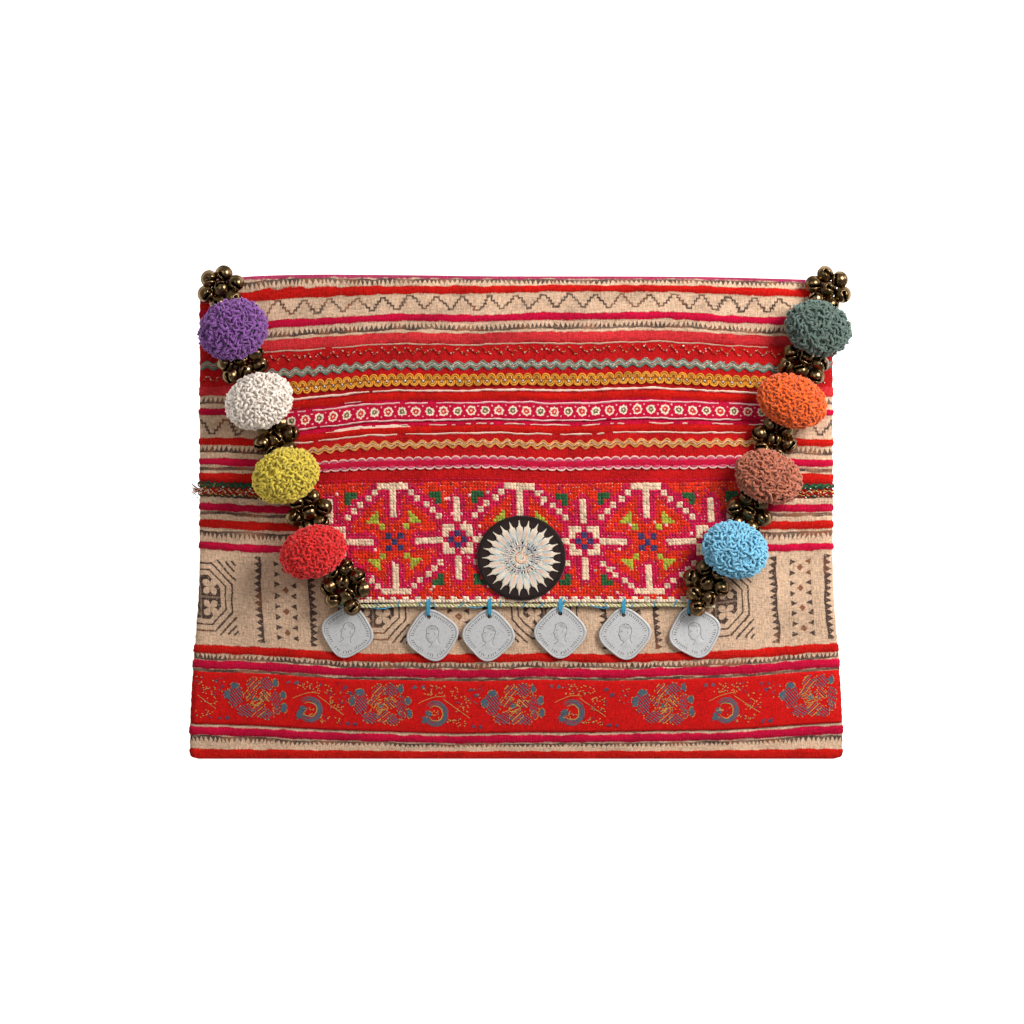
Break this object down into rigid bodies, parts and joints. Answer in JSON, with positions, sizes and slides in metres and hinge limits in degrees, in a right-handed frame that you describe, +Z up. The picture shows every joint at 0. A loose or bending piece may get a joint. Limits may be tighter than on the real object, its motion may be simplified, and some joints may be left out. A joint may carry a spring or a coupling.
{
  "type": "envelope clutch",
  "caption": "Soft envelope clutch of striped patchwork cloth, its flap trimmed with yarn pompoms, bunches of small bells, coins and a round stitched patch.",
  "frame": {"origin": "under the middle of the bag's footprint, on the surface that it lies on", "axes": "+X across the bag to the right, +Y from the bottom seam to the top fold, +Z up out of the flap"},
  "size_m": [0.3042, 0.227, 0.0384],
  "materials": {
    "front_cloth": "printed hemp with sewn stripes",
    "back_cloth": "printed hemp",
    "flap_cloth": "cotton with sewn stripes",
    "brocade": "figured weave",
    "sparkle": "braid with metal thread",
    "cross_stitch": "cross stitch",
    "picot": "woven ribbon",
    "tan_braid": "ric-rac",
    "flower_band": "woven ribbon",
    "gold_braid": "chain braid",
    "green_braid": "ric-rac",
    "cord": "twisted cord",
    "patch": "stitched patch",
    "coin": "worn",
    "bell": "antique, tarnished",
    "yarn_purple": "looped yarn",
    "yarn_white": "looped yarn",
    "yarn_yellow": "looped yarn",
    "yarn_red": "looped yarn",
    "yarn_teal": "looped yarn",
    "yarn_orange": "looped yarn",
    "yarn_rust": "looped yarn",
    "yarn_blue": "looped yarn"
  },
  "bodies": {
    "root": {"front_panel": "front_cloth", "back_panel": "back_cloth", "flap": "flap_cloth", "brocade_ribbon": "brocade", "sparkle_trim": "sparkle", "cross_stitch_panel": "cross_stitch", "picot_ribbon": "picot", "ricrac_tan": "tan_braid", "flower_ribbon": "flower_band", "braid_gold": "gold_braid", "ricrac_green": "green_braid", "hem_cord": "cord", "medallion": "patch", "coin_1": "coin", "coin_2": "coin", "coin_3": "coin", "coin_4": "coin", "coin_5": "coin", "coin_6": "coin", "pompom_purple": "yarn_purple", "pompom_white": "yarn_white", "pompom_yellow": "yarn_yellow", "pompom_red": "yarn_red", "pompom_teal": "yarn_teal", "pompom_orange": "yarn_orange", "pompom_rust": "yarn_rust", "pompom_blue": "yarn_blue", "bells_left_1": "bell", "bells_left_2": "bell", "bells_left_3": "bell", "bells_left_4": "bell", "bells_left_5": "bell", "bells_right_1": "bell", "bells_right_2": "bell", "bells_right_3": "bell", "bells_right_4": "bell", "bells_right_5": "bell"}
  },
  "joints": []
}
